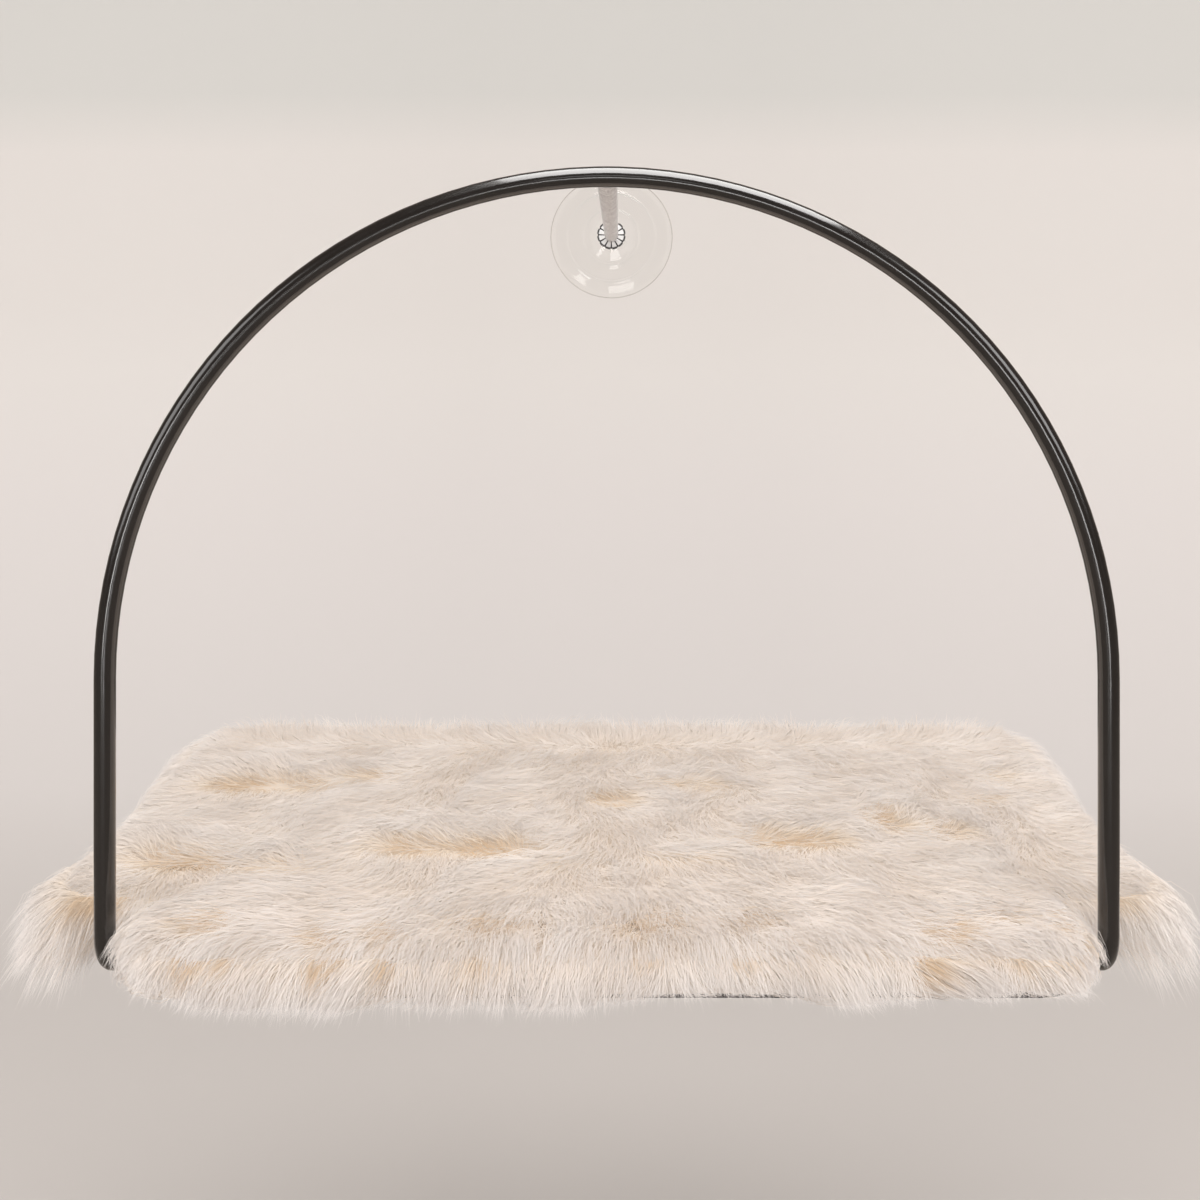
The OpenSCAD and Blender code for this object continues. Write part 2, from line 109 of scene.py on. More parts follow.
class Finish:
    """A material whose nodes are added one call at a time."""

    def __init__(self, name):
        self.material = bpy.data.materials.new(name)
        self.material.use_nodes = True
        self.tree = self.material.node_tree
        self.shader = self.tree.nodes["Principled BSDF"]

    def node(self, kind, settings, *values, output=0, **named):
        """Adds a node with its settings, fills its sockets in order or by name, and gives back one output."""
        made = self.tree.nodes.new(kind)
        for key, value in settings.items():
            setattr(made, key, value)
        pairs = list(enumerate(values)) + [(key.replace("_", " "), value) for key, value in named.items()]
        for key, value in pairs:
            self.put(made.inputs[key], value)
        return made.outputs[output]

    def put(self, socket, value):
        value = value.socket if isinstance(value, Sum) else value
        if isinstance(value, bpy.types.NodeSocket):
            self.tree.links.new(value, socket)
        else:
            socket.default_value = value

    def set(self, **sockets):
        """Sets or links sockets of the main shader; an underscore stands for a space."""
        for key, value in sockets.items():
            self.put(self.shader.inputs[key.replace("_", " ")], value)

    def place(self):
        return self.node("ShaderNodeTexCoord", {}, output="Object")

    def part(self, vector, axis):
        """One of the three numbers of a vector."""
        return Sum(self, self.node("ShaderNodeSeparateXYZ", {}, vector, output=axis))

    def off_axis(self, centre):
        """The way to a place from the line through a centre along Y, and its length."""
        away = self.node("ShaderNodeVectorMath", {"operation": "SUBTRACT"}, self.place(), centre)
        flat = self.node("ShaderNodeVectorMath", {"operation": "MULTIPLY"}, away, (1, 0, 1))
        length = self.node("ShaderNodeVectorMath", {"operation": "LENGTH"}, flat, output="Value")
        return flat, Sum(self, length)

    def ray(self, kind):
        return Sum(self, self.node("ShaderNodeLightPath", {}, output=kind))

    def noise(self, scale, detail=3):
        return Sum(self, self.node("ShaderNodeTexNoise", {}, Vector=self.place(), Scale=scale, Detail=detail,
                                   output="Fac"))

    def attribute(self, name):
        return Sum(self, self.node("ShaderNodeAttribute", {"attribute_name": name}, output="Fac"))

    def mix(self, factor, first, second):
        """Mixes two colours."""
        made = self.tree.nodes.new("ShaderNodeMix")
        made.data_type = "RGBA"
        for key, value in ((0, factor), (6, first), (7, second)):
            self.put(made.inputs[key], value)
        return made.outputs[2]

    def stretch(self, value, low, high, to_low=0.0, to_high=1.0):
        """Maps a number from one range to another, and keeps it within that."""
        return Sum(self, self.node("ShaderNodeMapRange", {}, value, low, high, to_low, to_high))

    def bump(self, height, strength, distance):
        self.set(Normal=self.node("ShaderNodeBump", {}, Strength=strength, Distance=distance, Height=height))


def dress(piece, finish):
    piece.data.materials.clear()
    piece.data.materials.append(finish.material)


FLOOR_Z = -0.5
COVE_Y = 1.5
COVE_R = 0.9
STAGE_SIZE = 9
# Heights between which the sheet turns to the next colour, from the floor up. These steps are painted shade: the sheet
# is darker near the floor and towards the top.
SHEET_SHADE_STEPS = [(FLOOR_Z, FLOOR_Z + 0.09, (220, 214, 211)), (-0.41, 0.0, (229, 223, 220)),
               (0.0, 0.25, (234, 229, 225)), (0.7, 0.82, (223, 221, 217))]

backdrop_finish = Finish("backdrop_paper")
backdrop_height = backdrop_finish.part(backdrop_finish.place(), "Z")
backdrop_side = abs(backdrop_finish.part(backdrop_finish.place(), "X"))
backdrop_painted_light_and_shade = colour(209, 203, 199)
for low, high, shade in SHEET_SHADE_STEPS:
    backdrop_shade_share = backdrop_finish.stretch(backdrop_height, low, high)
    backdrop_painted_light_and_shade = backdrop_finish.mix(backdrop_shade_share, backdrop_painted_light_and_shade, colour(*shade))
# Painted light: the sheet is up to 9 % lighter towards the sides, so the middle behind the perch reads as painted
# shade.
backdrop_side_light_gain = backdrop_finish.stretch(backdrop_side, 0.3, 1.25, 1.0, 1.09)
backdrop_painted_light_and_shade = backdrop_finish.node("ShaderNodeVectorMath", {"operation": "SCALE"}, backdrop_painted_light_and_shade,
                                     Scale=backdrop_side_light_gain)
# Mirror-like rays see the sheet darker, as they would see a real, darker room.
backdrop_mirrored = backdrop_finish.ray("Is Glossy Ray") * (1 - backdrop_finish.ray("Is Transmission Ray"))
backdrop_finish.set(
    Base_Color=backdrop_finish.mix(backdrop_mirrored, backdrop_painted_light_and_shade, colour(138, 130, 123)),
    Roughness=0.9,
    Specular_IOR_Level=0.1,
)

profile = [(-STAGE_SIZE, FLOOR_Z), (COVE_Y - COVE_R, FLOOR_Z)]
profile += [(COVE_Y - COVE_R + COVE_R * math.sin(a), FLOOR_Z + COVE_R - COVE_R * math.cos(a))
            for a in np.linspace(0.05, math.pi / 2, 24)]
profile += [(COVE_Y, STAGE_SIZE)]
sheet_points = [(side * STAGE_SIZE, y, z) for y, z in profile for side in (-1, 1)]
sheet_faces = [(2 * i, 2 * i + 1, 2 * i + 3, 2 * i + 2) for i in range(len(profile) - 1)]
backdrop_mesh = bpy.data.meshes.new("backdrop")
backdrop_mesh.from_pydata(sheet_points, [], sheet_faces)
backdrop = bpy.data.objects.new("backdrop", backdrop_mesh)
bpy.context.scene.collection.objects.link(backdrop)
backdrop_mesh.shade_smooth()
dress(backdrop, backdrop_finish)


def soft_box(name, place, target, size, power, tint, seen="all"):
    """A rectangular light; "lit" ones don't show in reflections and "mirrored" ones show only there."""
    lamp = bpy.data.lights.new(name, "AREA")
    lamp.shape = "RECTANGLE"
    lamp.size, lamp.size_y = size
    lamp.energy = power
    lamp.color = tint
    made = bpy.data.objects.new(name, lamp)
    made.location = place
    way = Vector(target) - Vector(place)
    made.rotation_euler = way.to_track_quat("-Z", "Y").to_euler()
    made.visible_glossy = seen != "lit"
    made.visible_diffuse = seen != "mirrored"
    bpy.context.scene.collection.objects.link(made)


BOX_TINT = (1, 0.985, 0.975)
CARD_TINT = (1, 0.99, 0.98)
soft_box("ceiling_box", (0.15, -1.1, 1.75), (0.05, -0.25, 0.15), (1.9, 0.6), 18.5, BOX_TINT, "lit")
soft_box("right_box", (1.5, -1.5, 0.85), (0, -0.2, 0.1), (0.8, 1.0), 8.5, BOX_TINT)
soft_box("left_box", (-1.8, -1.5, 0.75), (0, -0.2, 0.1), (1.2, 1.2), 9.5, BOX_TINT)
soft_box("overhead_card", (0.3, -1.1, 1.75), (0.3, -1.099, 0), (1.5, 2.2), 75, (1, 0.98, 0.96), "mirrored")
soft_box("nut_card", (0, -3, 0.66), (0, 0, APEX_Z), (0.4, 0.35), 0.6, CARD_TINT, "mirrored")
soft_box("left_window", (-0.66, -2.6, -0.26), (-0.02, 0, 0.35), (0.3, 0.35), 2.6, CARD_TINT, "mirrored")
soft_box("right_window", (0.17, -2.7, -0.36), (0.01, 0, 0.35), (0.5, 0.25), 2.6, CARD_TINT, "mirrored")

world = bpy.data.worlds.new("studio")
world.use_nodes = True
sky = world.node_tree.nodes["Background"]
sky_rays = world.node_tree.nodes.new("ShaderNodeLightPath")
sky_mix = world.node_tree.nodes.new("ShaderNodeMix")
sky_mix.data_type = "RGBA"
world.node_tree.links.new(sky_rays.outputs["Is Glossy Ray"], sky_mix.inputs[0])
sky_mix.inputs[6].default_value = colour(240, 238, 236)
sky_mix.inputs[7].default_value = colour(112, 104, 97)
world.node_tree.links.new(sky_mix.outputs[2], sky.inputs["Color"])
sky.inputs["Strength"].default_value = 0.82
bpy.context.scene.world = world

# Frame tube and saddles
# One length of 10 mm steel tube, bent to the hoop, the side runs and the tails; pressed steel saddles hold
# the board on it. Both are powder coated in a brownish black satin, with a fine grain in the highlights.
coat_finish = Finish("black_powder_coat")
coat_grain = coat_finish.noise(900, 2)
coat_cloud = coat_finish.noise(35, 3)
coat_finish.set(
    Base_Color=coat_finish.mix(coat_cloud, colour(15, 11, 9), colour(26, 20, 17)),
    Roughness=coat_finish.stretch(coat_cloud, 0.3, 0.7, 0.2, 0.27),
    Specular_IOR_Level=0.5,
    Coat_Weight=1,
    Coat_IOR=1.6,
    Coat_Roughness=0.1,
)
coat_finish.bump(coat_grain, 0.08, 0.0003)
for name in ("hoop_frame", "front_left_saddle", "front_right_saddle", "rear_left_saddle", "rear_right_saddle"):
    dress(nodes[name], coat_finish)


# End caps
# Moulded caps of black plastic that close the open lower ends of the tails.
# They are almost matt, with a faint speckle.
def speckled(name, scale, detail, dark, light, roughness):
    """A finish in fine speckles of two close colours."""
    finish = Finish(name)
    finish.set(Base_Color=finish.mix(finish.noise(scale, detail), colour(*dark), colour(*light)),
               Roughness=roughness)
    return finish


cap_finish = speckled("black_cap_plastic", 400, 3, (22, 21, 21), (34, 32, 31), 0.55)
for name in ("left_end_cap", "right_end_cap"):
    dress(nodes[name], cap_finish)

# Studs and screws
# Steel studs that join the cups, the stem and the arch, and the screws that hold the saddles to the board.
# They are zinc plated, which leaves a slightly cloudy grey.
zinc_finish = Finish("zinc_plate")
zinc_finish.set(Base_Color=zinc_finish.mix(zinc_finish.noise(260, 4), colour(150, 152, 155), colour(196, 197, 198)),
                Metallic=1, Roughness=zinc_finish.stretch(zinc_finish.noise(120), 0.3, 0.7, 0.28, 0.45))
for name in ("apex_stud", "upper_stud", "left_stud", "right_stud", "saddle_screws"):
    dress(nodes[name], zinc_finish)

# Jam and thumb nuts
# Two nuts on each lower stud, one on either side of the tail, that clamp the frame to the cup.
# They are plated with bright chrome.
chrome_finish = Finish("bright_chrome")
chrome_finish.set(Base_Color=chrome_finish.mix(chrome_finish.noise(90), colour(205, 206, 208), colour(228, 228, 229)),
                  Metallic=1, Roughness=0.1)
for name in ("left_jam_nut", "right_jam_nut", "left_thumb_nut", "right_thumb_nut"):
    dress(nodes[name], chrome_finish)

# Upper lock nut
# A fluted chrome nut on the boss of the upper cup, seen end on from the room.
# Its face is domed into petals. Its colour has a painted reflection, white on the petals, and painted shade, dark in
# the grooves between them; it is also darker at the rim.
MM = 0.001
PETALS = 12
FACE_R, BRIGHT_R = 9.7 * MM, 8.8 * MM
face_finish = Finish("chrome_nut_face")
face_way, face_r = face_finish.off_axis((0, 0, APEX_Z))
face_turn = face_finish.part(face_way, "Z")
face_turn = face_turn.maths("ARCTAN2", face_turn, face_finish.part(face_way, "X"))
# Painted light: white on the petals for the reflection of the chrome, dark for the shade in the grooves, and dark at
# the rim.
petal_light_groove_shade = face_finish.stretch(abs((face_turn * (PETALS / 2)).sine()), 0.2, 0.45)
petal_light_groove_shade = petal_light_groove_shade * face_finish.stretch(face_r, FACE_R, BRIGHT_R)
face_finish.set(Base_Color=face_finish.mix(petal_light_groove_shade, colour(62, 60, 60), colour(253, 253, 253)),
                Metallic=0.45, Roughness=face_finish.stretch(face_finish.noise(300), 0.3, 0.7, 0.16, 0.24))
dress(nodes["upper_lock_nut"], face_finish)

# Stem and curved washer
# A round stem that holds the arch off the glass, and a washer hollowed to fit the tube.
# Both are moulded in white nylon with a faint grey mottle, and sit on the studs.
nylon_finish = Finish("white_nylon")
nylon_cloud = nylon_finish.noise(160, 4)
nylon_speck = nylon_finish.noise(900, 2)
nylon_mottle = nylon_finish.stretch(nylon_cloud * 0.4 + nylon_speck * 0.6, 0.42, 0.58)
nylon_finish.set(Base_Color=nylon_finish.mix(nylon_mottle, colour(196, 192, 192), colour(246, 244, 243)),
                 Roughness=nylon_finish.stretch(nylon_cloud, 0.3, 0.7, 0.3, 0.45))
nylon_finish.bump(nylon_speck, 0.1, 0.0003)
for name in ("upper_stem", "stem_washer"):
    dress(nodes[name], nylon_finish)

# Suction cups
# Three clear cups, moulded in soft vinyl round their studs and pressed flat on the glass.
# Two low rings stand in each dish. The thin rim looks darker, because light runs out of it sideways.
LEG_X = 0.2425
LOWER_CUP_Z = -0.047
RIM_FROM, RIM_TO = 45.1 * MM, 45.9 * MM
RING_RADII = (19.5 * MM, 34.5 * MM)
RING_HALF = 1.2 * MM


def vinyl(name, centre):
    """The clear finish of one cup, laid out round its own centre."""
    finish = Finish("clear_vinyl_" + name)
    radius = finish.off_axis(centre)[1]
    finish.set(Base_Color=finish.mix(finish.stretch(radius, RIM_FROM, RIM_TO), colour(253, 253, 252),
                                     colour(214, 209, 205)),
               Roughness=finish.stretch(finish.noise(55, 2), 0.35, 0.7, 0.02, 0.06), IOR=1.36, Transmission_Weight=1)
    rings = 0
    for ring in RING_RADII:
        rings = rings + finish.stretch(radius, ring - RING_HALF, ring) - finish.stretch(radius, ring, ring + RING_HALF)
    finish.bump(rings, 0.25, 0.0004)
    dress(nodes[name], finish)


vinyl("upper_cup", (0, 0, APEX_Z))
vinyl("left_cup", (-LEG_X, 0, LOWER_CUP_Z))
vinyl("right_cup", (LEG_X, 0, LOWER_CUP_Z))

# Board and edge band
# A wooden board, stained dark and matt, cut away round the legs and screwed to the saddles.
# A thin satin band of plastic is stuck round its edge.
dress(nodes["board"], speckled("stained_board", 60, 5, (46, 40, 36), (66, 58, 52), 0.6))
dress(nodes["board_edge_band"], speckled("edge_band", 200, 4, (40, 34, 31), (58, 50, 45), 0.45))

# Hook strips
# Strips of black hook tape, stuck on top of the board.
# Their hooks show as a coarse dark speckle.
dress(nodes["hook_strips"], speckled("hook_tape", 3000, 3, (24, 24, 24), (60, 60, 60), 0.8))

# Loop strips
# Strips of cream loop tape under the backing of the mat.
# They close on the hook strips, so the whole mat lifts off for washing.
dress(nodes["loop_strips"], speckled("loop_tape", 2500, 3, (200, 190, 174), (228, 220, 206), 0.9))

# Woven backing
# A plain weave of cream cotton under the pad, cut to the outline of the board, its edge overcast.
# It carries the loop strips and closes the mat from below.
HALF_W, TONGUE_HALF = 278 * MM, 224 * MM
MAT_FRONT, WIDE_FRONT, MAT_BACK = -343 * MM, -285 * MM, -34 * MM
TONGUE_R, OUTER_R, NOTCH_R = 24 * MM, 20 * MM, 14 * MM
MID_Y = (MAT_FRONT + MAT_BACK) / 2
BACKING_LOW, BACKING_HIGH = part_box("mat_backing")[0][2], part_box("mat_backing")[1][2]
THREAD_RATE = math.pi / (0.9 * MM)


def corner(x, y, r, a, b, steps=6):
    turns = np.radians(np.linspace(a, b, steps + 1))
    return [(x + r * math.cos(t), y + r * math.sin(t)) for t in turns]


def mat_outline(d):
    """The outline of the mat drawn in by d, anticlockwise from above."""
    tx, wx = TONGUE_HALF - d, HALF_W - d
    fy, ny, by = MAT_FRONT + d, WIDE_FRONT + d, MAT_BACK - d
    tr, wr, nr = max(TONGUE_R - d, MM), max(OUTER_R - d, MM), max(NOTCH_R + d, MM)
    half = corner(tx - tr, fy + tr, tr, -90, 0) + corner(tx + nr, ny - nr, nr, 180, 90)
    half += corner(wx - wr, ny + wr, wr, -90, 0) + corner(wx - wr, by - wr, wr, 0, 90)
    return np.array(half + [(-x, y) for x, y in reversed(half)])


def ring_at(d, z):
    """The outline drawn in by d, at one height or at a height for each of its points."""
    ring = mat_outline(d)
    return np.column_stack([ring, np.full(len(ring), z)])


def mesh_piece(name, points, faces, values):
    """A mesh object from point and face arrays, with number attributes on its points."""
    mesh = bpy.data.meshes.new(name)
    mesh.vertices.add(len(points))
    mesh.vertices.foreach_set("co", points.astype(np.float32).ravel())
    mesh.loops.add(faces.size)
    mesh.loops.foreach_set("vertex_index", faces.astype(np.int32).ravel())
    mesh.polygons.add(len(faces))
    mesh.polygons.foreach_set("loop_start", np.arange(len(faces), dtype=np.int32) * 3)
    mesh.update(calc_edges=True)
    for key, numbers in values.items():
        mesh.attributes.new(key, "FLOAT", "POINT").data.foreach_set("value", numbers.astype(np.float32).ravel())
    mesh.shade_smooth()
    made = bpy.data.objects.new(name, mesh)
    bpy.context.scene.collection.objects.link(made)
    return made


def ring_form(name, rings, low_z, high_z, values_at=lambda x, y: {}):
    """A closed form through rings of points, with both ends drawn together in the middle."""
    size = len(rings[0])
    points = np.concatenate(rings + [[[0, MID_Y, low_z], [0, MID_Y, high_z]]])
    faces = []
    for k in range(len(rings) - 1):
        for i in range(size):
            a, b = k * size + i, k * size + (i + 1) % size
            faces += [(a, b, b + size), (a, b + size, a + size)]
    last, middle = (len(rings) - 1) * size, len(points) - 2
    for i in range(size):
        after = (i + 1) % size
        faces += [(after, i, middle), (last + i, last + after, middle + 1)]
    return mesh_piece(name, points, np.array(faces), values_at(points[:, 0], points[:, 1]))


# Each pair is how far the edge is drawn in, in mm, and its share of the way up.
backing_edge = [(1.2, 0), (0.5, 0.08), (0.2, 0.5), (0.5, 0.92), (1.2, 1)]
backing_rings = [ring_at(d * MM, BACKING_LOW + (BACKING_HIGH - BACKING_LOW) * share) for d, share in backing_edge]
backing = ring_form("woven_backing", backing_rings, BACKING_LOW, BACKING_HIGH)
weave_finish = Finish("woven_backing")
weft = (weave_finish.part(weave_finish.place(), "X") * THREAD_RATE).sine()
warp = (weave_finish.part(weave_finish.place(), "Y") * THREAD_RATE).sine()
weave = weft * warp * 0.5 + 0.5
slub = weave_finish.noise(240, 3)
weave_finish.set(Base_Color=weave_finish.mix(weave * 0.7 + slub * 0.3, colour(196, 184, 164), colour(229, 219, 202)),
                 Roughness=0.92, Specular_IOR_Level=0.2)
weave_finish.bump(weave, 0.5, 0.0004)
dress(backing, weave_finish)
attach(backing, "mat")
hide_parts("mat_backing")
cut = mat_outline(0.2 * MM)

# Foam pad
# Open-cell upholstery foam, cut to the outline of the board, its edges pressed round by the cover.
# It is loose between the backing and the cover, and is rounded down along the rear edge.
FOAM_LOW, FOAM_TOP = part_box("foam_pad")[0][2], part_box("foam_pad")[1][2]
GROUND_TOP = FOAM_TOP + 1.5 * MM
STEPS_IN = 46
MIDDLE_SHARE = 0.55
# Folds and hollows of the mat: middle x and y, half length, half width and height in mm
FOLDS = [(-206, -127, 47, 17, 2.0), (-206, -153, 44, 13, -3.6), (-81, -210, 56, 17, 2.2), (-81, -238, 53, 13, -4),
         (-206, -232, 47, 15, 1.8), (-206, -258, 47, 13, -3.2), (100, -198, 42, 17, 2.0), (100, -227, 44, 13, -3.6),
         (183, -185, 33, 15, 1.8), (183, -212, 33, 13, -3.6), (19, -139, 44, 17, 1.6), (19, -168, 39, 14, -2.8),
         (239, -127, 28, 15, 1.2), (234, -153, 28, 13, -2.4), (-83, -96, 70, 15, 1.2), (125, -96, 56, 15, 1.2),
         (0, -306, 209, 15, 1.2), (-97, -281, 83, 14, -2.0), (125, -281, 83, 14, -2.0)]


def inside(x, y):
    """How far a place lies inside the outline of the mat, negative outside it."""
    def box_depth(half_x, low_y, high_y, r):
        qx = np.abs(x) - (half_x - r)
        qy = np.abs(y - (low_y + high_y) / 2) - ((high_y - low_y) / 2 - r)
        outer = np.hypot(np.maximum(qx, 0), np.maximum(qy, 0))
        return r - outer - np.minimum(np.maximum(qx, qy), 0)
    return np.maximum(box_depth(HALF_W, WIDE_FRONT, MAT_BACK, OUTER_R),
                      box_depth(TONGUE_HALF, MAT_FRONT, MAT_BACK - 60 * MM, TONGUE_R))


def smooth(value, low, high):
    t = np.clip((value - low) / (high - low), 0, 1)
    return t * t * (3 - 2 * t)


def bell(value, middle, half):
    return np.exp(-((value - middle) / half) ** 2)


def fold_height(x, y):
    """The height in mm that the folds and hollows add at a place."""
    total = 0 * x
    for px, py, half_x, half_y, height in FOLDS:
        total = total + height * bell(x / MM, px, half_x) * bell(y / MM, py, half_y)
    return total


def rear_roll(y):
    """How much lower the rear edge lies, where the cover is drawn over the pad."""
    return 4.5 * MM * smooth(y, -66 * MM, -34 * MM)


def ground_z(x, y):
    """The top of the ground cloth: a flat crown with the folds on it, and hollows that the pile fills."""
    depth = np.clip(inside(x, y), 0, None)
    height = fold_height(x, y)
    height = np.where(height > 0, height, -0.9 * np.tanh(-height / 1.6))
    crown = 1.5 * (1 - np.exp(-depth / (45 * MM))) + height * smooth(depth, 0, 8 * MM)
    return GROUND_TOP + MM * crown - rear_roll(y)


def foam_z(x, y):
    """The top of the foam: flat, but rounded down with the cover along the rear edge."""
    return np.minimum(FOAM_TOP, ground_z(x, y) - 0.7 * MM)


def stepped_in(ring, height):
    """Rings from an outline in towards the middle line of the mat, laid on a height over the plan."""
    mid = np.column_stack([ring[:, 0] * MIDDLE_SHARE, np.full(len(ring), MID_Y)])
    steps = [ring + (mid - ring) * (k / STEPS_IN) for k in range(STEPS_IN)]
    return [np.column_stack([step, height(step[:, 0], step[:, 1])]) for step in steps]


def middle_z(height):
    return height(np.zeros(1), np.array([MID_Y]))[0]


foam_rings = [ring_at(d * MM, FOAM_LOW + up * MM) for d, up in ((2.0, 0.05), (0.9, 0.4), (0.4, 1.5))]
for d, down in ((0.4, 1.4), (0.9, 0.4)):
    shoulder = mat_outline(d * MM)
    foam_rings.append(ring_at(d * MM, foam_z(shoulder[:, 0], shoulder[:, 1]) - down * MM))
foam_rings += stepped_in(mat_outline(2 * MM), foam_z)
foam_block = ring_form("foam_block", foam_rings, FOAM_LOW + 0.05 * MM, middle_z(foam_z))
foam_finish = Finish("foam")
foam_cells = foam_finish.noise(1500, 3)
foam_finish.set(Base_Color=foam_finish.mix(foam_finish.stretch(foam_cells, 0.35, 0.6), colour(186, 174, 132),
                                           colour(236, 227, 194)),
                Roughness=0.95, Specular_IOR_Level=0.15)
foam_finish.bump(foam_cells, 0.6, 0.0006)
dress(foam_block, foam_finish)
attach(foam_block, "mat")
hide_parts("foam_pad")

# Ground cloth
# The knitted ground of the fur cover, sewn round the foam pad; its skirt hangs over the edge of the board.
# It is a closed form that follows the folds of the mat. Where the pile parts it turns to the golden colour of the
# roots, darkened further by painted shade, and a painted glow lightens it all over as light passing between the hairs
# would.
ROLL = 4.5 * MM
HEM_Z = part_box("fur_cover")[0][2] + 0.6 * MM
FUR_PAINTED_GLOW = 0.5
# Partings where the roots show: middle x and y, half length and half width in mm, and how strongly they show
PARTINGS = [(-228, -146, 20, 3, 0.9), (-196, -146, 20, 3, 0.8), (-150, -136, 14, 4, 0.7), (-226, -253, 22, 4, 0.9),
            (-176, -262, 22, 2.5, 0.6), (-62, -238, 22, 3, 1), (-105, -236, 20, 4, 0.8), (2, -172, 10, 5, 0.8),
            (35, -148, 18, 4, 0.5), (62, -150, 14, 3, 0.5), (100, -227, 26, 3, 1), (158, -202, 9, 6, 0.9),
            (188, -218, 14, 4, 0.8), (226, -170, 8, 3, 0.7), (245, -135, 10, 3, 0.5), (-20, -258, 24, 3, 0.4),
            (40, -250, 18, 3, 0.5), (-30, -110, 36, 4, 0.3), (130, -110, 30, 4, 0.3), (-184, -321, 14, 4, 1),
            (-127, -330, 7, 4, 0.9), (-98, -327, 9, 4, 0.9), (-55, -319, 17, 3.5, 0.9), (17, -320, 14, 3.5, 0.9),
            (64, -318, 12, 3.5, 0.8), (153, -327, 14, 4, 1), (183, -314, 16, 3.5, 0.8), (210, -318, 7, 3, 0.9)]


def parting_sum(x, y):
    """What the partings do at a place: how far they pull the hair to the back or front, how bare they leave the
    cloth, and how golden the hair is there."""
    pull, bare, gold = 0 * x, 0 * x, 0 * x
    for px, py, half_x, half_y, share in PARTINGS:
        dx, dy = x / MM - px, y / MM - py
        run = 9 if py < -300 else 30
        reach = 1 - smooth(np.abs(dx), half_x * 0.8, half_x + 20)
        pull = pull + 1.7 * share * reach * np.exp(-(dy / run) ** 2) * np.tanh(dy / 5)
        bare = np.maximum(bare, share * bell(dx, 0, half_x) * bell(dy, 0, half_y))
        gold = np.maximum(gold, share * bell(dx, 0, half_x * 1.5) * bell(dy, half_y * 0.6, half_y * 2 + 5))
    return np.clip(pull, -1.5, 1.5), bare, gold


def hem_z(x, y):
    """The height of the hem: it rides up on the front edge in two places, where the edge of the board shows."""
    front = smooth(-y, 334 * MM, 341 * MM)
    shown = smooth(x, 8 * MM, 24 * MM) * (1 - smooth(x, 78 * MM, 96 * MM))
    shown = shown + smooth(x, 120 * MM, 140 * MM) * (1 - smooth(x, 203 * MM, 209 * MM))
    return HEM_Z + 3.2 * MM * shown * front


cloth_inner = mat_outline(-0.6 * MM)
cloth_edge = mat_outline(0)
hem_ring = hem_z(cloth_edge[:, 0], cloth_edge[:, 1])
edge_top = GROUND_TOP - rear_roll(cloth_edge[:, 1])
# The skirt and the roll above it: how far drawn in, share of the way up to the roll, and rise above that
skirt_levels = [(-ROLL * 0.8, 0, 0), (-ROLL, 0.15, 0), (-ROLL, 1, 0)]
skirt_levels += [(-ROLL * math.cos(a), 1, ROLL * math.sin(a)) for a in np.radians([30, 60])]
cloth_rings = stepped_in(cloth_inner, lambda x, y: foam_z(x, y) + 0.1 * MM)[::-1]
cloth_rings.append(ring_at(-0.6 * MM, hem_ring))
for d, share, up in skirt_levels:
    cloth_rings.append(ring_at(d, hem_ring + (edge_top - ROLL - hem_ring) * share + up))
cloth_rings += stepped_in(cloth_edge, ground_z)
ground_cloth = ring_form("fur_ground_cloth", cloth_rings, middle_z(foam_z) + 0.1 * MM, middle_z(ground_z),
                         lambda x, y: {"bare": parting_sum(x, y)[1]})
ground_finish = Finish("fur_ground_cloth")
ground_bare_and_shade = ground_finish.attribute("bare")
# Painted shade where the pile parts, over the golden root colour, and a painted glow in the emission.
ground_finish.set(Base_Color=ground_finish.mix(ground_bare_and_shade, colour(196, 181, 166), colour(132, 108, 84)), Roughness=0.9,
                  Emission_Color=ground_finish.mix(ground_bare_and_shade, colour(186, 171, 156), colour(118, 98, 78)),
                  Emission_Strength=FUR_PAINTED_GLOW)
dress(ground_cloth, ground_finish)
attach(ground_cloth, "mat")
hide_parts("fur_cover")

# Pile on top of the mat
# Long cream hair, knitted into the ground cloth and combed forwards into broad locks, with golden roots.
# Each hair is a closed strand of its own. Its slight glow stands for the light that passes from hair to hair.
COUNT_SHARE = 1.0
WIDTH_SHARE = 1.0
TOP_HAIRS, FRONT_HAIRS = int(86000 * COUNT_SHARE), int(26000 * COUNT_SHARE)
COVER_SHARE = 0.9
TAPERS = {2: [1.0, 0.75], 3: [1.0, 0.92, 0.62]}
TUBE_ROOM = 6 * MM
SIDE_EASE = 8 * MM
LOCK_CELL, TUFT_CELL = 15 * MM, 3.4 * MM
HAIR_LIFT = 15
ROOT_SPREAD = 6.5 * MM
LEAST_LENGTH, MORE_LENGTH = 25 * MM, 11 * MM
# Half widths of the mat with its hair: y and half width in mm
SIDE_LEFT = [(-343, 300), (-290, 313), (-277, 312), (-262, 306), (-247, 297), (-232, 287), (-218, 281), (-200, 285),
             (-175, 292), (-140, 298), (-100, 302), (-60, 303), (-34, 305)]
SIDE_RIGHT = [(-343, 300), (-290, 309), (-275, 309), (-258, 308), (-240, 298), (-225, 292), (-200, 287), (-160, 296),
              (-120, 305), (-60, 311), (-34, 312)]
